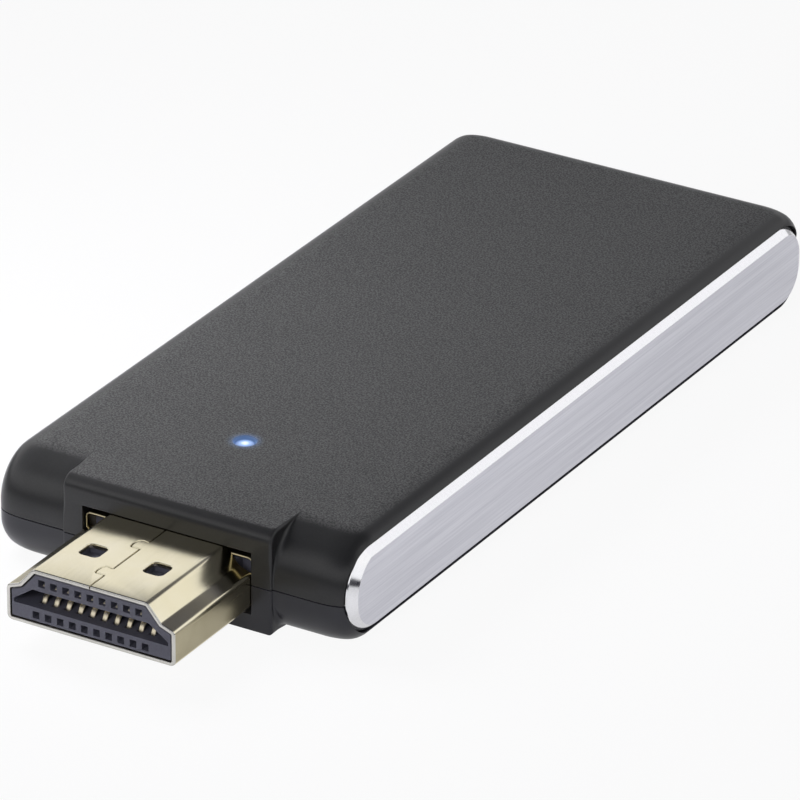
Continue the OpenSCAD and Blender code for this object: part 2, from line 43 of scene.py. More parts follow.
# Camera. The stick was photographed from the right of its plug and above, from over half a
# metre away through a long lens, so its parallel edges stay almost parallel. The place and
# the turns were fitted to the plug's corners and the case's outline.
MM = 0.001
camera_x, camera_y, camera_z = 257.75, -428.9, 255.01
azimuth, elevation, roll = 30.807, 26.619, 0.195
sensor_w, focal_length, view_end = 36, 344.9, 20

camera = bpy.data.objects.new("camera", bpy.data.cameras.new("camera"))
scene.collection.objects.link(camera)
camera.data.sensor_width = sensor_w
camera.data.lens = focal_length
camera.data.clip_end = view_end
turn = Euler((math.radians(90 - elevation), 0, math.radians(azimuth))).to_matrix()
turn = turn @ Matrix.Rotation(math.radians(roll), 3, "Z")
camera.matrix_world = Matrix.Translation(Vector((camera_x, camera_y, camera_z)) * MM) @ turn.to_4x4()
scene.camera = camera
scene.view_settings.view_transform = "Standard"


# Studio. The stick lies on a board painted white, in a white room with a dark skirting in
# front and a dark ceiling, under soft lamps. The camera sees the board and the room as plain
# white, and from beneath it sees the stick through the board.
def srgb(code):
    """An sRGB hex colour as linear light."""
    parts = [int(code[i:i + 2], 16) / 255 for i in (1, 3, 5)]
    return [c / 12.92 if c <= 0.04045 else ((c + 0.055) / 1.055) ** 2.4 for c in parts] + [1.0]


def add(tree, kind, inputs=None, stops=(), **settings):
    """Adds a shader node. Its inputs are values, or the sockets that feed them. The stops of a
    colour ramp are pairs of a place and a colour."""
    node = tree.nodes.new("ShaderNode" + kind)
    for name, value in settings.items():
        setattr(node, name, value)
    for name, value in (inputs or {}).items():
        if isinstance(value, bpy.types.NodeSocket):
            tree.links.new(value, node.inputs[name])
        else:
            node.inputs[name].default_value = value
    for i, (stop, tone) in enumerate(stops):
        ready = i < len(node.color_ramp.elements)
        element = node.color_ramp.elements[i] if ready else node.color_ramp.elements.new(stop)
        element.position = stop
        element.color = srgb(tone)
    return node


def start_material(name):
    material = bpy.data.materials.new(name)
    material.use_nodes = True
    tree = material.node_tree
    tree.nodes.clear()
    return material, tree


def mesh_object(name, points, faces):
    """Makes an object from points in millimetres."""
    mesh = bpy.data.meshes.new(name)
    mesh.from_pydata([Vector(point) * MM for point in points], [], faces)
    made = bpy.data.objects.new(name, mesh)
    scene.collection.objects.link(made)
    return made


board_half, board_drop = 1500, 0.02
corners = [(side * board_half, end * board_half, -board_drop)
           for side, end in ((-1, -1), (1, -1), (1, 1), (-1, 1))]
floor = mesh_object("floor", corners, [(0, 1, 2, 3)])

# Rolled white paint is even and matt, and keeps the stick's soft shadow. A large share of
# plain white makes it the background, and gives metal a paler table to mirror.
white_to_camera, white_to_metal = 0.93, 0.55
painted_board, tree = start_material("white_painted_board")
path = add(tree, "LightPath")
matt = add(tree, "BsdfDiffuse", {"Color": srgb("#d8d8e0")})
plain_white = add(tree, "Emission", {"Color": srgb("#ffffff"), "Strength": 1.0})
seen = add(tree, "Math", {0: path.outputs["Is Glossy Ray"], 1: path.outputs["Is Transmission Ray"]},
           operation="MAXIMUM")
mirrored = add(tree, "Math", {0: seen.outputs[0], 1: white_to_metal}, operation="MULTIPLY")
share = add(tree, "Math", {0: path.outputs["Is Camera Ray"], 1: white_to_camera, 2: mirrored.outputs[0]},
            operation="MULTIPLY_ADD")
paint = add(tree, "MixShader", {0: share.outputs[0], 1: matt.outputs[0], 2: plain_white.outputs[0]})
underneath = add(tree, "Math", {0: add(tree, "NewGeometry").outputs["Backfacing"],
                                1: path.outputs["Is Camera Ray"]}, operation="MULTIPLY")
clear = add(tree, "BsdfTransparent", {"Color": srgb("#ffffff")})
paint = add(tree, "MixShader", {0: underneath.outputs[0], 1: paint.outputs[0], 2: clear.outputs[0]})
add(tree, "OutputMaterial", {"Surface": paint.outputs[0]})
floor.data.materials.append(painted_board)

# The room that gloss mirrors: its tones go by the height of a direction, from the skirting up
# to the ceiling. Behind the stick the white wall comes down to the table. Two soft boxes are
# white patches, each given by its direction and by where it starts and is full.
room_tones = ((0.18, "#2c2c32"), (0.24, "#fcfcfe"), (0.54, "#fcfcfe"), (0.65, "#606068"), (1.0, "#48484f"))
wall_start, wall_full, wall_level = 0.2, 0.5, 0.205
white_patches = (((-0.5, -0.7, 0.5), 0.93, 0.985), ((0.76, 0.18, 0.62), 0.9, 0.96))
world = bpy.data.worlds.new("studio")
scene.world = world
world.use_nodes = True
tree = world.node_tree
tree.nodes.clear()
path = add(tree, "LightPath")
toward = add(tree, "TexCoord")
height = add(tree, "SeparateXYZ", {0: toward.outputs["Generated"]})
behind = add(tree, "MapRange", {"Value": height.outputs["Y"], "From Min": wall_start, "From Max": wall_full,
                                "To Min": 0, "To Max": wall_level})
level = add(tree, "Math", {0: height.outputs["Z"], 1: behind.outputs[0]}, operation="MAXIMUM")
room = add(tree, "ValToRGB", {0: level.outputs[0]}, stops=room_tones).outputs[0]
for direction, start, full in white_patches:
    facing = add(tree, "VectorMath", {0: toward.outputs["Generated"], 1: direction}, operation="DOT_PRODUCT")
    patch = add(tree, "MapRange", {"Value": facing.outputs["Value"], "From Min": start, "From Max": full})
    room = add(tree, "Mix", {"Factor": patch.outputs[0], 6: room, 7: srgb("#ffffff")},
               data_type="RGBA").outputs[2]
seen = add(tree, "Math", {0: path.outputs["Is Glossy Ray"], 1: path.outputs["Is Transmission Ray"]},
           operation="MAXIMUM")
light = add(tree, "Background", {"Color": srgb("#dfe2ea"), "Strength": 0.12})
mirrored = add(tree, "Background", {"Color": room, "Strength": 1.0})
white = add(tree, "Background", {"Color": srgb("#ffffff"), "Strength": 1.0})
mix = add(tree, "MixShader", {0: seen.outputs[0], 1: light.outputs[0], 2: mirrored.outputs[0]})
mix = add(tree, "MixShader", {0: path.outputs["Is Camera Ray"], 1: mix.outputs[0], 2: white.outputs[0]})
add(tree, "OutputWorld", {"Surface": mix.outputs[0]})


def softbox(name, place, size, watts):
    """A soft lamp turned to the stick. It lights only matt surfaces: gloss mirrors the room."""
    lamp = bpy.data.lights.new(name, "AREA")
    lamp.shape = "RECTANGLE"
    lamp.size, lamp.size_y = size
    lamp.energy = watts
    made = bpy.data.objects.new(name, lamp)
    scene.collection.objects.link(made)
    made.location = place
    made.rotation_euler = (-Vector(place)).to_track_quat("-Z", "Y").to_euler()
    made.visible_glossy = False
    made.visible_camera = False


softbox("softbox_above", (-0.15, 0.2, 0.6), (0.5, 0.5), 0.2)
softbox("softbox_near", (-0.042, -0.018, 0.052), (0.04, 0.04), 0.055)
softbox("softbox_right", (0.6, 0.1, 0.3), (0.3, 0.4), 0.4)
softbox("softbox_front", (0.1, -0.6, 0.35), (0.4, 0.25), 1.5)


# Case. Two shells of injection-moulded ABS meet at a parting line.
# The front and tail are rolled like a bullnose, and a square block round the plug grows out of
# the rolled front, so its side edges run out to nothing on the top face.
front_y = -28.375
case_l, case_h = 66.8, 8.3
block_x, block_front, block_low, block_fillet = 8.65, -0.2, 0.25, 1.0
block_edge_r, block_valley_r, largest_share, least_step = 0.26, 0.45, 0.45, 0.004
parting_low, parting_high = 3.76, 3.84
# The case seen from the side: the middle of each rolled corner, its radius and its first angle.
rolled_corners = ((64.0, 5.5, 2.8, 0), (4.1, 4.2, 4.1, 90), (3.1, 3.1, 3.1, 180), (63.6, 3.2, 3.2, 270))
# The flank's roll, as places across and how far the skin has dropped there.
flank_profile = ((12.1, 0), (12.35, 0.008), (12.6, 0.022), (12.85, 0.045), (13.1, 0.075), (13.35, 0.115),
                 (13.6, 0.17), (13.85, 0.245), (14.1, 0.37), (14.35, 0.545), (14.55, 0.75), (14.72, 1.0),
                 (14.84, 1.27), (14.92, 1.56), (14.95, 1.9))


def spread(start, end, count):
    return [start + (end - start) * k / count for k in range(count + 1)]


def loft(name, rings, looped=False):
    """Skins rings of points of one length. The ends are closed, or joined where it is looped."""
    count = len(rings[0])
    faces = []
    for a in range(len(rings) if looped else len(rings) - 1):
        b = (a + 1) % len(rings)
        for i in range(count):
            j = (i + 1) % count
            faces.append((a * count + i, a * count + j, b * count + j, b * count + i))
    if not looped:
        faces.append(tuple(reversed(range(count))))
        faces.append(tuple((len(rings) - 1) * count + i for i in range(count)))
    made = mesh_object(name, [point for ring in rings for point in ring], faces)
    work = bmesh.new()
    work.from_mesh(made.data)
    bmesh.ops.remove_doubles(work, verts=work.verts, dist=1e-7)
    bmesh.ops.dissolve_degenerate(work, edges=work.edges, dist=1e-7)
    bmesh.ops.recalc_face_normals(work, faces=work.faces)
    work.to_mesh(made.data)
    work.free()
    return made


def cut(target, *cutters):
    """Takes closed cutters out of a closed piece, for good."""
    for cutter in cutters:
        step = target.modifiers.new("cut", "BOOLEAN")
        step.object = cutter
        step.solver = "EXACT"
    ready = target.evaluated_get(bpy.context.evaluated_depsgraph_get())
    mesh = bpy.data.meshes.new_from_object(ready)
    target.modifiers.clear()
    target.data = mesh
    for cutter in cutters:
        bpy.data.objects.remove(cutter)


def shade(target, degrees):
    """Smooth shading that breaks at edges sharper than so many degrees."""
    mesh = target.data
    mesh.polygons.foreach_set("use_smooth", [True] * len(mesh.polygons))
    mesh.set_sharp_from_angle(angle=math.radians(degrees))


def block_reach(y, z, dy, dz):
    """How far the block's outline is from a point, along a direction."""
    reach = min([(y - block_front) / -dy if dy < -1e-6 else 1e9,
                 (case_h - z) / dz if dz > 1e-6 else 1e9,
                 (z - block_low) / -dz if dz < -1e-6 else 1e9])
    hub_y, hub_z = block_front + block_fillet, case_h - block_fillet
    if y + dy * reach < hub_y and z + dz * reach > hub_z:
        b = (y - hub_y) * dy + (z - hub_z) * dz
        c = (y - hub_y) ** 2 + (z - hub_z) ** 2 - block_fillet ** 2
        reach = -b + math.sqrt(max(b * b - c, 0))
    return reach


# Points round the case, each with the step from the rolled corner out to the block. More of
# them lie where the block's fillet and its lower corners are.
case_points = []
for hub_y, hub_z, radius, first in rolled_corners:
    angles = spread(first, first + 90, 20)
    if first == 90:
        angles = spread(90, 128.8, 12) + spread(128.8, 144.2, 12)[1:] + spread(144.2, 180, 12)[1:]
    if first == 180:
        angles = sorted(angles + [219.6, 220.81, 222.0, 246.84])
    for angle in angles:
        dy, dz = math.cos(math.radians(angle)), math.sin(math.radians(angle))
        step = 0
        if first in (90, 180):
            step = max(0, block_reach(hub_y, hub_z, dy, dz) - radius)
        case_points.append((hub_y, hub_z, radius, dy, dz, step if step > least_step else 0))


def case_ring(x, out):
    """One ring round the case. x and out give the place across and the reach of each point."""
    ring = []
    for hub_y, hub_z, radius, dy, dz, step in case_points:
        reach = radius + out(step)
        ring.append((x(step), front_y + hub_y + dy * reach, hub_z + dz * reach))
    return ring


# Rings from the middle out: round the block's edge, round the valley beside it, and down the
# flank's roll. Where the block's step runs out, its edge and valley shrink with it.
right_rings = [case_ring(lambda step: 0, lambda step: step)]
for angle in spread(0, 90, 5):
    s, c = math.sin(math.radians(angle)), math.cos(math.radians(angle))
    right_rings.append(case_ring(
        lambda step: block_x - min(block_edge_r, largest_share * step) * (1 - s),
        lambda step: step - min(block_edge_r, largest_share * step) * (1 - c)))
for angle in spread(0, 90, 6):
    s, c = math.sin(math.radians(angle)), math.cos(math.radians(angle))
    right_rings.append(case_ring(
        lambda step: block_x + min(block_valley_r, largest_share * step) * (1 - c),
        lambda step: min(block_valley_r, largest_share * step) * (1 - s)))
for x, drop in flank_profile:
    right_rings.append(case_ring(lambda step: x, lambda step: -drop))
left_rings = [[(-x, y, z) for x, y, z in ring] for ring in reversed(right_rings[1:])]
case_rings = left_rings + right_rings


def rounded_side(length, height, radii, y=0, z=0, count=10):
    """Side outline with its four corners rounded: tail top, front top, front low, tail low."""
    tail_top, front_top, front_low, tail_low = radii
    hubs = [(length - tail_top, height - tail_top, tail_top), (front_top, height - front_top, front_top),
            (front_low, front_low, front_low), (length - tail_low, tail_low, tail_low)]
    outline = []
    for (hub_y, hub_z, radius), first in zip(hubs, (0, 90, 180, 270)):
        for angle in spread(first, first + 90, count):
            outline.append((y + hub_y + radius * math.cos(math.radians(angle)),
                            z + hub_z + radius * math.sin(math.radians(angle))))
    return outline


def across(name, outline, from_x, to_x):
    """A prism across the case, from an outline of y behind the ears' front and height."""
    return loft(name, [[(x, front_y + y, z) for y, z in outline] for x in (from_x, to_x)])


def rounded_rect(width, height, radius, count=6):
    """A rectangle round the origin, with its corners rounded."""
    outline = []
    for sx, sz, first in ((1, 1, 0), (-1, 1, 90), (-1, -1, 180), (1, -1, 270)):
        for angle in spread(first, first + 90, count):
            outline.append((sx * (width / 2 - radius) + radius * math.cos(math.radians(angle)),
                            sz * (height / 2 - radius) + radius * math.sin(math.radians(angle))))
    return outline


wall, cavity_left, cavity_right = 1.1, -13.85, 12.65
pocket_back, pocket_out, pocket_y, pocket_z, pocket_l, pocket_h = 13.9, 16, 0.43, 0.76, 65.94, 6.72
opening_half, opening_low, opening_high, opening_front, opening_back = 7.0, 1.492, 6.342, -1.2, 4.1


def case_cutters():
    """The inside, the side trim's pocket and the plug's opening, which both shells share."""
    cavity = rounded_side(case_l - 2 * wall, case_h - 2 * wall, (1.7, 3.0, 2.0, 2.1), wall, wall)
    pocket = rounded_side(pocket_l, pocket_h, (2.9, 3.3, 3.15, 3.0), pocket_y, pocket_z, 16)
    opening = [(opening_front, opening_low), (opening_back, opening_low),
               (opening_back, opening_high), (opening_front, opening_high)]
    return [across("cavity", cavity, cavity_left, cavity_right),
            across("pocket", pocket, pocket_back, pocket_out),
            across("opening", opening, -opening_half, opening_half)]


def half_case(name, height, upper):
    """The case, cut level at a height and closed there."""
    made = loft(name, case_rings)
    work = bmesh.new()
    work.from_mesh(made.data)
    parts = bmesh.ops.bisect_plane(work, geom=work.verts[:] + work.edges[:] + work.faces[:],
                                   plane_co=(0, 0, height * MM), plane_no=(0, 0, 1),
                                   clear_inner=upper, clear_outer=not upper)
    rim = [part for part in parts["geom_cut"] if isinstance(part, bmesh.types.BMEdge)]
    bmesh.ops.contextual_create(work, geom=rim)
    bmesh.ops.recalc_face_normals(work, faces=work.faces)
    work.to_mesh(made.data)
    work.free()
    return made


light_x, light_y, light_hole_r = -0.45, 11.0, 0.8
socket_z, button_x, button_z = 5.55, 8.367, 5.1
socket_hole_w, socket_hole_h, button_hole_w, button_hole_h = 8.0, 3.0, 3.24, 1.54
# How a hole goes out through the tail: its reach, and how much wider it is there.
tail_hole = ((64.7, 0), (66.6, 0), (67.0, 0.5))
top_shell = half_case("top_shell", parting_high, True)
light_hole = [[(light_x + r * math.cos(math.radians(a)), front_y + light_y + r * math.sin(math.radians(a)), z)
               for a in range(0, 360, 8)]
              for r, z in ((light_hole_r, 6), (light_hole_r, 8.2), (light_hole_r + 0.18, 8.4))]
socket_hole = [[(x, front_y + y, socket_z + z)
                for x, z in rounded_rect(socket_hole_w + grow, socket_hole_h + grow, 0.3)]
               for y, grow in tail_hole]
button_hole = [[(button_x + x, front_y + y, button_z + z)
                for x, z in rounded_rect(button_hole_w + grow, button_hole_h + grow, 0.52)]
               for y, grow in tail_hole]
cut(top_shell, *case_cutters(), loft("light_hole", light_hole), loft("socket_hole", socket_hole),
    loft("button_hole", button_hole))
shade(top_shell, 24)
bottom_shell = half_case("bottom_shell", parting_low, False)
cut(bottom_shell, *case_cutters())
shade(bottom_shell, 24)


def soft_touch(name, dark, pale, rough):
    """The skin of fine-moulded or lacquered ABS: matt, with a fine grain, and smoother where it rolls over.
    Its colour carries painted light and shade: lighter, with a lively grain, where the skin lies flat,
    and darker, with the grain faded, where it rolls over. Edges catch a thin light.
    The real grain is about 0.1 mm, and is drawn a little coarser, so that it shows."""
    grain, cloud_size = 0.13, 9
    rolled_over, lies_flat = 0.95, 0.9985
    made, tree = start_material(name)
    place = add(tree, "TexCoord")
    speck = add(tree, "TexNoise", {"Vector": place.outputs["Object"], "Scale": 1 / (grain * MM),
                                   "Detail": 1.0, "Roughness": 0.6})
    cloud = add(tree, "TexNoise", {"Vector": place.outputs["Object"], "Scale": 1 / (cloud_size * MM),
                                   "Detail": 2.0})
    # Painted light and shade: the colour is lifted where the normal points straight up and darkened where the
    # skin rolls over.
    up = add(tree, "SeparateXYZ", {0: add(tree, "NewGeometry").outputs["Normal"]})
    level = add(tree, "MapRange", {"Value": up.outputs["Z"], "From Min": rolled_over,
                                   "From Max": lies_flat, "To Min": 0.04})
    grain_and_painted_shade = add(tree, "MapRange", {"Value": speck.outputs["Fac"], "From Min": 0.38, "From Max": 0.62,
                                   "To Min": -0.5, "To Max": 0.5})
    painted_flat_lift = add(tree, "Math", {0: level.outputs[0], 1: 0.45, 2: 0.05}, operation="MULTIPLY_ADD")
    grain_and_painted_shade = add(tree, "Math", {0: grain_and_painted_shade.outputs[0], 1: level.outputs[0], 2: painted_flat_lift.outputs[0]},
                operation="MULTIPLY_ADD")
    tone = add(tree, "Mix", {"Factor": grain_and_painted_shade.outputs[0], 6: srgb(dark), 7: srgb(pale)}, data_type="RGBA")
    shine = add(tree, "Math", {0: cloud.outputs["Fac"], 1: 0.05, 2: rough}, operation="MULTIPLY_ADD")
    shine = add(tree, "Math", {0: level.outputs[0], 1: 0.26, 2: shine.outputs[0]}, operation="MULTIPLY_ADD")
    edge = add(tree, "Bevel", {"Radius": 0.07 * MM}, samples=6)
    bump = add(tree, "Bump", {"Height": grain_and_painted_shade.outputs[0], "Distance": 0.008 * MM, "Strength": 0.6,
                              "Normal": edge.outputs[0]})
    skin = add(tree, "BsdfPrincipled", {"Base Color": tone.outputs[2], "Roughness": shine.outputs[0],
                                        "IOR": 1.48, "Normal": bump.outputs[0]})
    add(tree, "OutputMaterial", {"Surface": skin.outputs[0]})
    return made, tree, skin


def painted_halo(tree, skin):
    """A painted glow of the blue lamp's light on the lacquer round its hole and down the hole's wall."""
    halo_start, halo_end = 0.75, 1.5
    place = add(tree, "TexCoord")
    flat = add(tree, "VectorMath", {0: place.outputs["Object"], 1: (1, 1, 0)}, operation="MULTIPLY")
    away = add(tree, "VectorMath", {0: flat.outputs[0], 1: (light_x * MM, (front_y + light_y) * MM, 0)},
               operation="DISTANCE")
    fall = add(tree, "MapRange", {"Value": away.outputs["Value"], "From Min": halo_start * MM,
                                  "From Max": halo_end * MM})
    painted_glow_fade = add(tree, "ValToRGB", {0: fall.outputs[0]},
               stops=((0, "#5270a0"), (0.33, "#2c3c55"), (0.73, "#181f28"), (1, "#000000")))
    tree.links.new(painted_glow_fade.outputs[0], skin.inputs["Emission Color"])
    skin.inputs["Emission Strength"].default_value = 1.0


# The top's soft-touch lacquer is a warm black with a lively grain. The bottom shell takes a copy
# drawn darker and a little bluer, with less contrast in its grain: painted shade for the lower
# half, which faces away from the lamps.
soft_touch_abs, tree, skin = soft_touch("soft_touch_abs", "#202021", "#545455", 0.27)
painted_halo(tree, skin)
shaded_lower_abs, tree, skin = soft_touch("shaded_lower_abs", "#26262c", "#3c3c45", 0.26)
top_shell.data.materials.append(soft_touch_abs)
bottom_shell.data.materials.append(shaded_lower_abs)
for piece, node, slot in ((top_shell, "top_cover", "case_top"),
                          (bottom_shell, "bottom_cover", "case_bottom")):
    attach(piece, "stick")
    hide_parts(node)


# Side trim. A plate of anodised aluminium, stamped to the flank's outline and brushed along
# its length. Its rim is diamond-cut to a bright bevel, and it sits in a pocket on foam tape.
trim_y, trim_z = 0.53, 0.86
trim_back, trim_rim, trim_face, trim_bevel = 14.0, 14.39, 14.95, 0.56
# The middle of each of the plate's corners, its radius, and its first and last angle.
trim_corners = ((62.94, 3.72, 2.8, 0, 90), (3.404, 3.32, 3.404, 110, 180), (3.05, 3.05, 3.05, 180, 270),
                (62.84, 2.9, 2.9, 270, 360))


def inset(outline, distance):
    """A closed outline, counter-clockwise, with every edge moved in."""
    count = len(outline)
    edges = []
    for i in range(count):
        dy, dz = outline[(i + 1) % count][0] - outline[i][0], outline[(i + 1) % count][1] - outline[i][1]
        size = math.hypot(dy, dz)
        edges.append((dy / size, dz / size))
    moved = []
    for i, (y, z) in enumerate(outline):
        (ay, az), (by, bz) = edges[i - 1], edges[i]
        spare = 1 + ay * by + az * bz
        moved.append((y - distance * (az + bz) / spare, z + distance * (ay + by) / spare))
    return moved


plate = []
for hub_y, hub_z, radius, first, last in trim_corners:
    for angle in spread(first, last, 14):
        plate.append((trim_y + hub_y + radius * math.cos(math.radians(angle)),
                      trim_z + hub_z + radius * math.sin(math.radians(angle))))
trim_plate = loft("trim_plate", [[(x, front_y + y, z) for y, z in outline] for x, outline in (
    (trim_back, plate), (trim_rim, plate), (trim_face, inset(plate, trim_bevel)))])
shade(trim_plate, 15)

# Brushing leaves long fine scratches that spread a reflection upright and stripe it along the
# stick. They are about 0.05 mm wide, and are drawn at 0.16 mm, so that they show.
scratch_w, scratch_l, streak_w, streak_l, across_size = 0.16, 12, 0.6, 30, 4
brushed_aluminium, tree = start_material("brushed_anodised_aluminium")
place = add(tree, "TexCoord")
stretch = add(tree, "Mapping", {"Vector": place.outputs["Object"],
                                "Scale": (1 / (across_size * MM), 1 / (scratch_l * MM),
                                          1 / (scratch_w * MM))})
scratch = add(tree, "TexNoise", {"Vector": stretch.outputs[0], "Scale": 1.0, "Detail": 3.0,
                                 "Roughness": 0.65})
streak = add(tree, "Mapping", {"Vector": place.outputs["Object"],
                               "Scale": (1 / (across_size * MM), 1 / (streak_l * MM), 1 / (streak_w * MM))})
streak = add(tree, "TexNoise", {"Vector": streak.outputs[0], "Scale": 1.0, "Detail": 2.0})
both = add(tree, "Math", {0: scratch.outputs["Fac"], 1: 0.8}, operation="MULTIPLY")
both = add(tree, "Math", {0: streak.outputs["Fac"], 1: 0.2, 2: both.outputs[0]}, operation="MULTIPLY_ADD")
tone = add(tree, "MapRange", {"Value": both.outputs[0], "From Min": 0.3, "From Max": 0.7})
colour = add(tree, "Mix", {"Factor": tone.outputs[0], 6: srgb("#dedee6"), 7: srgb("#f6f6fc")},
             data_type="RGBA")
rough = add(tree, "MapRange", {"Value": scratch.outputs["Fac"], "To Min": 0.34, "To Max": 0.46})
bump = add(tree, "Bump", {"Height": both.outputs[0], "Distance": 0.01 * MM, "Strength": 0.5})
metal = add(tree, "BsdfPrincipled", {"Base Color": colour.outputs[2], "Metallic": 1.0,
                                     "Roughness": rough.outputs[0], "Anisotropic": 0.6,
                                     "Normal": bump.outputs[0]})
add(tree, "OutputMaterial", {"Surface": metal.outputs[0]})

# A diamond cutter leaves bare, near-mirror metal, so the bevel is a bright line round the face.
cut_aluminium, tree = start_material("diamond_cut_aluminium")
place = add(tree, "TexCoord")
mark = add(tree, "TexNoise", {"Vector": place.outputs["Object"], "Scale": 1 / (0.25 * MM), "Detail": 3.0})
colour = add(tree, "Mix", {"Factor": mark.outputs["Fac"], 6: srgb("#f2f2f4"), 7: srgb("#fcfcfe")},
             data_type="RGBA")
rough = add(tree, "MapRange", {"Value": mark.outputs["Fac"], "To Min": 0.1, "To Max": 0.18})
edge = add(tree, "Bevel", {"Radius": 0.03 * MM}, samples=6)
bump = add(tree, "Bump", {"Height": mark.outputs["Fac"], "Distance": 0.001 * MM, "Normal": edge.outputs[0]})
metal = add(tree, "BsdfPrincipled", {"Base Color": colour.outputs[2], "Metallic": 1.0,
                                     "Roughness": rough.outputs[0], "Normal": bump.outputs[0]})
add(tree, "OutputMaterial", {"Surface": metal.outputs[0]})
trim_plate.data.materials.append(brushed_aluminium)
trim_plate.data.materials.append(cut_aluminium)
for face in trim_plate.data.polygons:
    face.material_index = 0 if abs(face.normal.x) > 0.9 else 1
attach(trim_plate, "stick")
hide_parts("side_trim")


def dress(node, material, width=0.0):
    """Gives a CAD node its material, with rounded edges of a width in millimetres."""
    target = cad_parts[node]
    target.data.materials.clear()
    target.data.materials.append(material)
    if width:
        weld = target.modifiers.new("weld", "WELD")
        weld.merge_threshold = 0.001 * MM
        flat = target.modifiers.new("flat", "DECIMATE")
        flat.decimate_type = "DISSOLVE"
        flat.angle_limit = math.radians(0.3)
        edges = target.modifiers.new("edges", "BEVEL")
        edges.width = width * MM
        edges.segments = 3
        edges.limit_method = "ANGLE"
        edges.angle_limit = math.radians(30)
        edges.harden_normals = True


# Foamed acrylic is chalky and milk white, with closed cells of about 0.15 mm.
foam_tape, tree = start_material("acrylic_foam_tape")
place = add(tree, "TexCoord")
cells = add(tree, "TexVoronoi", {"Vector": place.outputs["Object"], "Scale": 1 / (0.15 * MM)})
colour = add(tree, "Mix", {"Factor": cells.outputs["Distance"], 6: srgb("#e4e4e0"), 7: srgb("#c8c8c2")},
             data_type="RGBA")
bump = add(tree, "Bump", {"Height": cells.outputs["Distance"], "Distance": 0.02 * MM})
foam = add(tree, "BsdfPrincipled", {"Base Color": colour.outputs[2], "Roughness": 0.8,
                                    "Normal": bump.outputs[0]})
add(tree, "OutputMaterial", {"Surface": foam.outputs[0]})
dress("trim_tape", foam_tape)


# Status light. A clear polycarbonate pipe carries the blue lamp's light up into a small hole.
# A collar holds it under the top. Its end is slightly domed, just under the top face.
pipe_r, collar_r = 0.75, 1.25
# Radius and height of each ring, from the lamp up to the middle of the domed end.
pipe_profile = ((pipe_r, 4.95), (pipe_r, 5.85), (collar_r, 5.85), (collar_r, 6.3), (pipe_r, 6.3),
                (pipe_r, 7.98), (0.72, 8.04), (0.62, 8.08), (0.4, 8.11), (0.15, 8.12))
lens_rings = []
for radius, z in pipe_profile:
    lens_rings.append([(light_x + radius * math.cos(math.radians(a)),
                        front_y + light_y + radius * math.sin(math.radians(a)), z)
                       for a in range(0, 360, 10)])
light_lens = loft("light_lens", lens_rings)
shade(light_lens, 30)

# Clear moulded polycarbonate, lit from below: white in the middle, where the lamp shines
# straight up, and a softer blue toward the wall. A faint haze of the moulding breaks it up.
lit_polycarbonate, tree = start_material("lit_polycarbonate")
place = add(tree, "TexCoord")
flat = add(tree, "VectorMath", {0: place.outputs["Object"], 1: (1, 1, 0)}, operation="MULTIPLY")
away = add(tree, "VectorMath", {0: flat.outputs[0], 1: (light_x * MM, (front_y + light_y) * MM, 0)},
           operation="DISTANCE")
spot = add(tree, "MapRange", {"Value": away.outputs["Value"], "From Min": 0, "From Max": light_hole_r * MM})
haze = add(tree, "TexNoise", {"Vector": place.outputs["Object"], "Scale": 1 / (0.3 * MM), "Detail": 2.0})
blur = add(tree, "Math", {0: haze.outputs["Fac"], 1: 0.12, 2: spot.outputs[0]}, operation="MULTIPLY_ADD")
glow = add(tree, "ValToRGB", {0: blur.outputs[0]}, stops=(
    (0.1, "#ffffff"), (0.3, "#d4ecff"), (0.48, "#9cbef4"), (0.75, "#7c98cc"), (1.0, "#6478a0")))
lens = add(tree, "BsdfPrincipled", {"Base Color": srgb("#2c3448"), "Roughness": 0.2, "IOR": 1.58,
                                    "Emission Color": glow.outputs[0], "Emission Strength": 1.0})
add(tree, "OutputMaterial", {"Surface": lens.outputs[0]})
light_lens.data.materials.append(lit_polycarbonate)
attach(light_lens, "stick")
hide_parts("light_pipe")


# Plug shell. One sheet of brass, wrapped round the insulator and gold-plated. Its two ends
# interlock on the top in two dovetail tabs, and two windows above and two below catch the
# socket's springs. The mouth's edge is rolled smooth.
plug_low, plug_h, plug_front, plug_rear, plug_mid = 1.842, 4.45, -10.05, 0.1, -5
sheet_t, plug_corner, lip, inner_lip = 0.3, 0.45, 0.13, 0.07
plug_outline = [(-6.95, 0), (6.95, 0), (6.95, 2.72), (5.85, 3.12), (4.72, plug_h), (-4.72, plug_h),
                (-5.85, 3.12), (-6.95, 2.72)]
plug_top = plug_low + plug_h
window_x, window_y, window_w, window_l, window_r = 2.65, 4.6, 1.6, 1.7, 0.4
tab_places = (1.95, 6.5)


def soften(outline, radius, count=6):
    """A closed outline, counter-clockwise, with every corner rounded."""
    total = len(outline)
    rounded = []
    for i, (x, z) in enumerate(outline):
        before, after = outline[i - 1], outline[(i + 1) % total]
        a = Vector((x - before[0], z - before[1])).normalized()
        b = Vector((after[0] - x, after[1] - z)).normalized()
        bend = math.atan2(a.x * b.y - a.y * b.x, a.dot(b))
        side = 1 if bend > 0 else -1
        reach = side * radius / (1 + a.dot(b))
        hub = Vector((x, z)) + reach * Vector((-a.y - b.y, a.x + b.x))
        for k in range(count + 1):
            arm = Matrix.Rotation(bend * k / count, 2) @ (side * radius * Vector((-a.y, a.x)))
            rounded.append(tuple(hub - arm))
    return rounded


def plug_ring(depth, y):
    """The plug's outline at a depth in the sheet."""
    outline = soften(inset(plug_outline, depth), max(plug_corner - depth, 0.04))
    return [(x, front_y + y, plug_low + z) for x, z in outline]


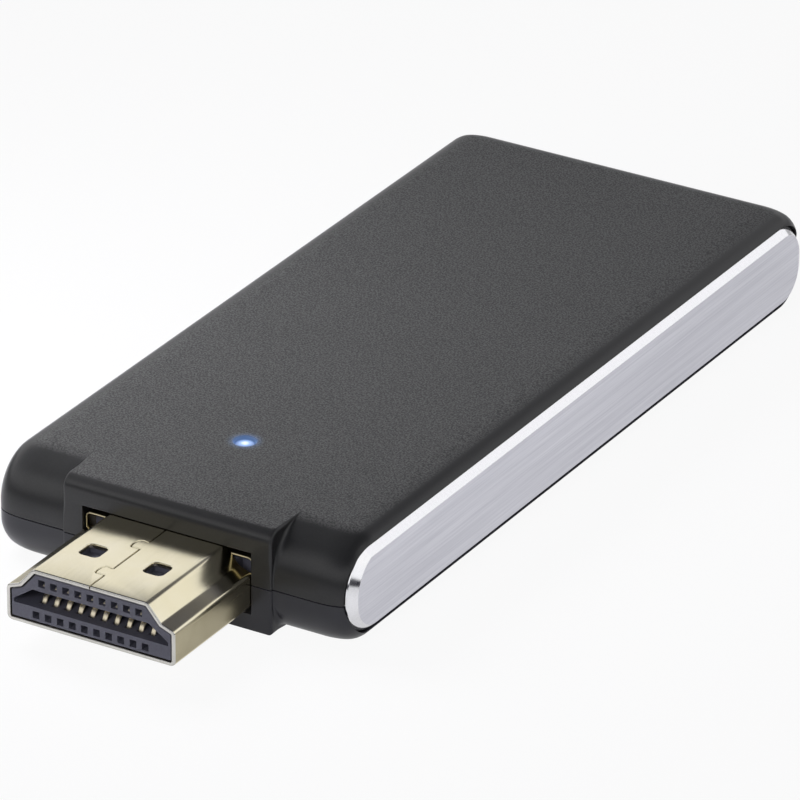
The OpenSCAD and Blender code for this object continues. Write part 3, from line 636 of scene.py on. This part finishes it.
plug_rings = [plug_ring(0, plug_rear), plug_ring(0, plug_mid), plug_ring(0, plug_front + lip)]
for angle in spread(0, 90, 5)[1:]:
    plug_rings.append(plug_ring(lip * (1 - math.cos(math.radians(angle))),
                                plug_front + lip * (1 - math.sin(math.radians(angle)))))
for angle in spread(0, 90, 3):
    plug_rings.append(plug_ring(sheet_t - inner_lip * (1 - math.sin(math.radians(angle))),
                                plug_front + inner_lip * (1 - math.cos(math.radians(angle)))))
plug_rings += [plug_ring(sheet_t, plug_mid), plug_ring(sheet_t, plug_rear)]
plug_sheet = loft("plug_sheet", plug_rings, looped=True)


def upright(name, outline, levels):
    """A prism on end, from an outline of x and of y behind the mouth. It grows with height."""
    return loft(name, [[(x, front_y + plug_front + y, z) for x, y in inset(outline, -grow)]
                       for z, grow in levels])


# Punching draws each window's edge in a little, so the cutters widen at the skin.
plug_cutters = []
for x in (-window_x, window_x):
    window = [(x + dx, window_y + dy) for dx, dy in rounded_rect(window_w, window_l, window_r, 8)]
    plug_cutters.append(upright("window", window, (
        (plug_top - 0.8, 0), (plug_top - 0.1, 0), (plug_top - 0.04, 0.02), (plug_top + 0.01, 0.07),
        (plug_top + 0.2, 0.26))))
    plug_cutters.append(upright("window_below", window, (
        (plug_low - 0.2, 0.26), (plug_low - 0.01, 0.07), (plug_low + 0.04, 0.02), (plug_low + 0.1, 0),
        (plug_low + 0.8, 0))))
seam_path = [(0, -1)]
for y in tab_places:
    seam_path += [(0, y - 0.1), (-0.04, y), (-0.7, y - 0.02), (-0.8, y + 0.06), (-0.84, y + 0.4),
                  (-0.8, y + 0.85), (-0.68, y + 1.08), (-0.5, y + 1.17), (-0.3, y + 1.13), (-0.06, y + 1.08),
                  (0, y + 1.16)]
seam_path.append((0, 11))


def beside(path, distance):
    """An open path moved to its left."""
    moved = []
    for i, point in enumerate(path):
        a = Vector(path[max(i, 1)]) - Vector(path[max(i, 1) - 1])
        b = Vector(path[min(i + 1, len(path) - 1)]) - Vector(path[min(i, len(path) - 2)])
        a.normalize()
        b.normalize()
        reach = distance / (1 + a.dot(b))
        moved.append((point[0] - reach * (a.y + b.y), point[1] + reach * (a.x + b.x)))
    return moved


# Heights and widths of the groove at the seam, which opens at the skin.
seam_levels = ((plug_top - 0.6, 0.08), (plug_top - 0.06, 0.08), (plug_top + 0.02, 0.17),
               (plug_top + 0.2, 0.3))
seam_rings = []
for z, width in seam_levels:
    ribbon = beside(seam_path, -width / 2) + list(reversed(beside(seam_path, width / 2)))
    seam_rings.append([(x, front_y + plug_front + y, z) for x, y in ribbon])
plug_cutters.append(loft("seam", seam_rings))
cut(plug_sheet, *plug_cutters)
shade(plug_sheet, 22)


def gold_plate(name, pale, deep, rough):
    """Thin gold on drawn brass: a warm mirror softened by the sheet's drawing marks, which are
    drawn about three times as wide as the real ones, so that they show."""
    mark_w, mark_l, blotch_size = 0.14, 5, 2.5
    made, tree = start_material(name)
    place = add(tree, "TexCoord")
    drawn = add(tree, "Mapping", {"Vector": place.outputs["Object"],
                                  "Scale": (1 / (mark_w * MM), 1 / (mark_l * MM), 1 / (mark_w * MM))})
    mark = add(tree, "TexNoise", {"Vector": drawn.outputs[0], "Scale": 1.0, "Detail": 3.0})
    blotch = add(tree, "TexNoise", {"Vector": place.outputs["Object"], "Scale": 1 / (blotch_size * MM),
                                    "Detail": 3.0})
    tone = add(tree, "Mix", {"Factor": blotch.outputs["Fac"], 6: srgb(deep), 7: srgb(pale)},
               data_type="RGBA")
    shine = add(tree, "MapRange", {"Value": mark.outputs["Fac"], "To Min": rough, "To Max": rough + 0.08})
    edge = add(tree, "Bevel", {"Radius": 0.03 * MM}, samples=6)
    bump = add(tree, "Bump", {"Height": mark.outputs["Fac"], "Distance": 0.004 * MM, "Strength": 0.5,
                              "Normal": edge.outputs[0]})
    metal = add(tree, "BsdfPrincipled", {"Base Color": tone.outputs[2], "Metallic": 1.0,
                                         "Roughness": shine.outputs[0], "Normal": bump.outputs[0]})
    add(tree, "OutputMaterial", {"Surface": metal.outputs[0]})
    return made


# The top is burnished and mirrors the room in pale gold. The sides take a rougher copy whose
# darker colour is painted shade, for the dark case and shadowed floor they mirror, and the
# sheared edge at the mouth is silvery, from the nickel under the gold.
pale_gold = gold_plate("pale_gold_plate", "#f4edd6", "#e8deba", 0.13)
shaded_side_gold = gold_plate("shaded_side_gold_plate", "#c6bea2", "#aaa080", 0.22)
sheared_edge = gold_plate("sheared_nickel_edge", "#e2e0da", "#c6c4bc", 0.2)
for material in (pale_gold, sheared_edge, shaded_side_gold):
    plug_sheet.data.materials.append(material)
sheared_depth, upright_face = 0.09, 0.95
# Faces at the mouth take the silvery edge, and upright sides the darker gold, which is painted shade.
for face in plug_sheet.data.polygons:
    if face.center.y < (front_y + plug_front + sheared_depth) * MM:
        face.material_index = 1
    elif abs(face.normal.x) > upright_face:
        face.material_index = 2
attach(plug_sheet, "stick")
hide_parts("plug_shell")


# Plug frame. A squarer sleeve of the same plated brass behind the shell, rolled thin at its
# edge. The case's opening holds it, and it shows there as a fine gold line in the corners.
frame_w, frame_h, frame_r, frame_front, frame_rear = 13.9, 3.95, 0.4, 0.1, 5.2
frame_t, frame_lip = 0.25, 0.16
frame_rings = []
for depth, y in ((0, frame_rear), (0, frame_front + 0.07), (0.03, frame_front + 0.02), (0.08, frame_front),
                 (0.13, frame_front + 0.02), (frame_lip, frame_front + 0.07), (frame_t, frame_front + 0.7),
                 (frame_t, frame_rear)):
    outline = rounded_rect(frame_w - 2 * depth, frame_h - 2 * depth, frame_r - depth)
    frame_rings.append([(x, front_y + y, plug_low + frame_h / 2 + z) for x, z in outline])
sleeve = loft("plug_sleeve", frame_rings, looped=True)
shade(sleeve, 40)
# Its gold is drawn deeper and softer than the shell's: deeper as painted shade for its place inside the
# case's opening, and softer from a rougher finish.
shaded_frame_gold = gold_plate("shaded_frame_gold_plate", "#eae0c0", "#c6b98e", 0.26)
sleeve.data.materials.append(shaded_frame_gold)
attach(sleeve, "stick")
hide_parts("plug_frame")


# Plug insulator. A block of blue-grey glass-filled nylon with a slot for the socket's tongue,
# a channel for each contact, and two rows of square pockets left by the mould's core pins.
insulator_front, insulator_gap, insulator_edge = 0.06, 0.09, 0.05
block_end, neck_end, heel_end = 10.15, 11.15, 15.25
slot_low, slot_side, slot_high, slot_half, slot_top_half, slot_end = 1.5, 1.79, 2.85, 6.36, 4.78, 7.5
upper_pockets, lower_pockets, pocket_w, pocket_end = (9, 3.46), (10, 0.89), 0.55, 1.25
channel_w, lower_channel_start, upper_channel_start, channel_end = 0.5, 0.8, 1.3, 7.4
recess_w, recess_h, recess_start, recess_end = 1.7, 1.5, 3.7, 5.5
neck_w, neck_h, neck_mid, heel_w, heel_h, heel_mid = 11, 2.8, 2.1, 13.4, 3.4, 1.975


def row(count):
    """The places of one row of contacts, 1 mm apart."""
    return [i - (count - 1) / 2 for i in range(count)]


def lengthwise(name, outline, near, far):
    """A prism along the plug, from an outline of x and of height, and its reach behind the mouth."""
    return loft(name, [[(x, front_y + plug_front + y, plug_low + z) for x, z in outline]
                       for y in (near, far)])


def block(x, z, width, height):
    return [(x - width / 2, z - height / 2), (x + width / 2, z - height / 2),
            (x + width / 2, z + height / 2), (x - width / 2, z + height / 2)]


block_outline = soften(inset(plug_outline, sheet_t + insulator_gap), 0.12, 4)
nylon_rings = []
for back, y in ((insulator_edge, insulator_front), (0, insulator_front + insulator_edge), (0, block_end)):
    nylon_rings.append([(x, front_y + plug_front + y, plug_low + z) for x, z in inset(block_outline, back)])
neck, heel = rounded_rect(neck_w, neck_h, 0.1, 4), rounded_rect(heel_w, heel_h, 0.1, 4)
for outline, mid, y in ((neck, neck_mid, block_end), (neck, neck_mid, neck_end),
                        (heel, heel_mid, neck_end), (heel, heel_mid, heel_end)):
    nylon_rings.append([(x, front_y + plug_front + y, plug_low + mid + z) for x, z in outline])
nylon_front = loft("nylon_block", nylon_rings[:3])
nylon_rear = [loft("nylon_neck", nylon_rings[3:5]), loft("nylon_rear", nylon_rings[5:])]
slot = [(-slot_half, slot_low), (slot_half, slot_low), (slot_half, slot_side), (slot_top_half, slot_high),
        (-slot_top_half, slot_high), (-slot_half, slot_side)]
nylon_cutters = [lengthwise("slot", slot, -1, slot_end)]
for count, z in (upper_pockets, lower_pockets):
    for x in row(count):
        nylon_cutters.append(lengthwise("pocket", block(x - 0.03, z, pocket_w, pocket_w), -1, pocket_end))
for x in row(10):
    nylon_cutters.append(lengthwise("channel", block(x, slot_low, channel_w, channel_w),
                                    lower_channel_start, channel_end))
for x in row(9):
    nylon_cutters.append(lengthwise("channel", block(x, slot_high, channel_w, channel_w),
                                    upper_channel_start, channel_end))
for x in (-window_x, window_x):
    for z in (0, plug_h):
        nylon_cutters.append(lengthwise("recess", block(x, z, recess_w, recess_h),
                                        recess_start, recess_end))
cut(nylon_front, *nylon_cutters)
shade(nylon_front, 30)

# Glass-filled nylon moulds to a dull, slightly mottled skin. Its fibres are about 0.01 mm thick,
# and are drawn as a 0.1 mm mottle, so that they show.
glass_nylon, tree = start_material("glass_filled_nylon")
place = add(tree, "TexCoord")
fibre = add(tree, "TexNoise", {"Vector": place.outputs["Object"], "Scale": 1 / (0.1 * MM), "Detail": 3.0})
colour = add(tree, "Mix", {"Factor": fibre.outputs["Fac"], 6: srgb("#4d4d58"), 7: srgb("#6a6a77")},
             data_type="RGBA")
bump = add(tree, "Bump", {"Height": fibre.outputs["Fac"], "Distance": 0.01 * MM})
nylon = add(tree, "BsdfPrincipled", {"Base Color": colour.outputs[2], "Roughness": 0.5, "IOR": 1.53,
                                     "Normal": bump.outputs[0]})
add(tree, "OutputMaterial", {"Surface": nylon.outputs[0]})
for part in (nylon_front, *nylon_rear):
    part.data.materials.append(glass_nylon)
for part in nylon_rear:
    part.parent = nylon_front
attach(nylon_front, "stick")
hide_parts("plug_insulator")


# Contacts. Nineteen strips of phosphor bronze, stamped, bent to a sprung crest and flashed with
# gold, are pressed into the block and soldered to both faces of the board. Their rounded noses
# catch the light in the dark slot.
contact_w, contact_t, contact_edge_r = 0.4, 0.2, 0.08
nib_w, nib_t = 0.2, 0.16
# Reach behind the mouth and height above the plug's underside, along a lower strip.
nose = [(1.09, 1.3), (1.1, 1.38), (1.14, 1.5), (1.22, 1.65), (1.32, 1.79), (1.43, 1.89), (1.57, 1.95)]
spring = nose + [(1.8, 1.98), (2.2, 2.0), (2.6, 1.97), (3.1, 1.88), (3.8, 1.58), (4.4, 1.3), (4.8, 1.22)]
lower_path = spring + [(15.2, 1.21), (15.75, 1.358), (16.85, 1.358)]
upper_path = [(y, 4.34 - z) for y, z in spring] + [(15.2, 3.07), (15.75, 2.558), (16.85, 2.558)]


def strips(name, places, path, width, thickness):
    """One mesh of like strips. Each follows a path of reach behind the mouth and height."""
    points, faces = [], []
    section = rounded_rect(width, thickness, contact_edge_r, 3)
    count = len(section)
    for x in places:
        for i, (y, z) in enumerate(path):
            ahead, behind = path[min(i + 1, len(path) - 1)], path[max(i - 1, 0)]
            size = math.hypot(ahead[0] - behind[0], ahead[1] - behind[1])
            ny, nz = -(ahead[1] - behind[1]) / size, (ahead[0] - behind[0]) / size
            for u, w in section:
                points.append((x + u, front_y + plug_front + y + ny * w, plug_low + z + nz * w))
            last = len(points) - count
            if i:
                faces += [(last + k, last + (k + 1) % count, last - count + (k + 1) % count, last - count + k)
                          for k in range(count)]
            if i in (0, len(path) - 1):
                cap = [last + k for k in range(count)]
                faces.append(tuple(reversed(cap)) if i == 0 else tuple(cap))
    made = mesh_object(name, points, faces)
    work = bmesh.new()
    work.from_mesh(made.data)
    bmesh.ops.recalc_face_normals(work, faces=work.faces)
    work.to_mesh(made.data)
    work.free()
    shade(made, 50)
    return made


lower_strips = strips("lower_strips", row(10), lower_path, contact_w, contact_t)
upper_strips = strips("upper_strips", row(9), upper_path, contact_w, contact_t)
# The upper strips' ends glint in the pockets above the slot.
nib_path = [(0.3, 3.21), (0.34, 3.27), (0.42, 3.3), (1.2, 3.3)]
nibs = strips("upper_noses", [x + 0.03 for x in row(9)], nib_path, nib_w, nib_t)
nibs.parent = upper_strips
# A thin gold flash on bronze, satin, so a nose is one soft highlight. Its colour is drawn paler than the
# shell's, a painted highlight that lifts the noses in the dark slot.
brightened_contact_gold = gold_plate("brightened_contact_gold_flash", "#fff6e2", "#f6e8c4", 0.34)
for piece, node in ((lower_strips, "lower_contacts"), (upper_strips, "upper_contacts")):
    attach(piece, "stick")
    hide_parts(node)
for piece in (lower_strips, upper_strips, nibs):
    piece.data.materials.append(brightened_contact_gold)


# Board. A four-layer glass-epoxy laminate under green solder mask, held by four zinc-plated
# screws, with its chips moulded in black epoxy. A silicone pad and an aluminium sheet take the
# processor's heat, and a tinned can covers the radio.
def speckled(name, dark, pale, grain, rough, metallic=0.0):
    """A plain finish with a fine grain, whose size is in millimetres."""
    made, tree = start_material(name)
    place = add(tree, "TexCoord")
    speck = add(tree, "TexNoise", {"Vector": place.outputs["Object"], "Scale": 1 / (grain * MM),
                                   "Detail": 3.0})
    tone = add(tree, "Mix", {"Factor": speck.outputs["Fac"], 6: srgb(dark), 7: srgb(pale)},
               data_type="RGBA")
    shine = add(tree, "MapRange", {"Value": speck.outputs["Fac"], "To Min": rough - 0.05,
                                   "To Max": rough + 0.05})
    bump = add(tree, "Bump", {"Height": speck.outputs["Fac"], "Distance": 0.01 * MM})
    values = {"Base Color": tone.outputs[2], "Metallic": metallic, "Roughness": shine.outputs[0],
              "Normal": bump.outputs[0]}
    if not metallic:
        values["IOR"] = 1.5
    skin = add(tree, "BsdfPrincipled", values)
    add(tree, "OutputMaterial", {"Surface": skin.outputs[0]})
    return made


# Printed solder mask is a half-gloss green, through which the laminate's 1.2 mm weave shows.
solder_mask, tree = start_material("green_solder_mask")
place = add(tree, "TexCoord")
weave = add(tree, "TexBrick", {"Vector": place.outputs["Object"], "Scale": 1 / (1.2 * MM),
                               "Color1": srgb("#1c4a34"), "Color2": srgb("#245640"),
                               "Mortar": srgb("#163c2a"), "Mortar Size": 0.03})
bump = add(tree, "Bump", {"Height": weave.outputs["Fac"], "Distance": 0.01 * MM})
mask = add(tree, "BsdfPrincipled", {"Base Color": weave.outputs["Color"], "Roughness": 0.35,
                                    "Normal": bump.outputs[0]})
add(tree, "OutputMaterial", {"Surface": mask.outputs[0]})
dress("main_board", solder_mask)
# Moulded epoxy is charcoal black and matt, with the grain of its silica filler.
epoxy = speckled("moulded_epoxy", "#202023", "#2f2f33", 0.12, 0.6)
for node in ("processor", "memory_chips", "flash_chip", "voltage_regulators", "wifi_chip"):
    dress(node, epoxy, 0.08)
# Pressed ferrite is a dull, stony grey, and fired titanate a warm tan with a slight gloss.
dress("power_inductors", speckled("pressed_ferrite", "#4a4a4e", "#626266", 0.2, 0.7), 0.1)
dress("capacitors", speckled("fired_titanate", "#907a5c", "#b09a78", 0.2, 0.5), 0.05)
# Tin on steel is a soft, cloudy silver.
tinned_steel = speckled("tinned_steel", "#a8aaac", "#c8cacc", 0.3, 0.35, metallic=1.0)
dress("crystal", tinned_steel, 0.08)
dress("wifi_shield", tinned_steel, 0.06)
# Fired alumina is ivory and even, and the lamp's resin a milky blue that lets light through.
dress("antenna", speckled("fired_alumina", "#dcd8cc", "#efece2", 0.2, 0.5), 0.05)
dress("status_led", speckled("blue_lamp_resin", "#c8d4f4", "#e8eefc", 0.2, 0.3), 0.05)
# The silicone pad is rubbery and matt, the rolled sheet satin, and the zinc a duller grey.
dress("thermal_pad", speckled("silicone_pad", "#8490a6", "#9aa6ba", 0.25, 0.75))
dress("heat_spreader", speckled("rolled_aluminium", "#a0a2a4", "#b8babc", 0.4, 0.4, metallic=1.0), 0.05)
dress("board_screws", speckled("zinc_plate", "#848588", "#9c9da0", 0.25, 0.35, metallic=1.0), 0.06)


# Tail. A micro USB socket of folded nickel-plated steel stands on the board behind an opening,
# with a black tongue and five contacts, and a small moulded button beside it works a switch.

# Nickel is a bright silver with a faint satin from the rolled sheet.
nickel = speckled("nickel_plated_steel", "#a6a8aa", "#c2c4c6", 0.3, 0.28, metallic=1.0)
dress("usb_shell", nickel, 0.06)
# The tongue's polymer is moulded black, with a satin skin.
dress("usb_insulator", speckled("moulded_lcp", "#17171a", "#26262a", 0.12, 0.5), 0.05)
dress("usb_contacts", brightened_contact_gold, 0.02)
# The button is bare and fine-moulded, a little smoother than the lacquer round its hole.
button_abs, tree, skin = soft_touch("moulded_button_abs", "#28282a", "#3c3c40", 0.27)
dress("mode_button", button_abs, 0.1)
dress("switch_body", nickel, 0.05)
# Moulded acetal is a waxy white.
dress("switch_plunger", speckled("moulded_acetal", "#e6e6e2", "#f6f6f2", 0.2, 0.4), 0.05)
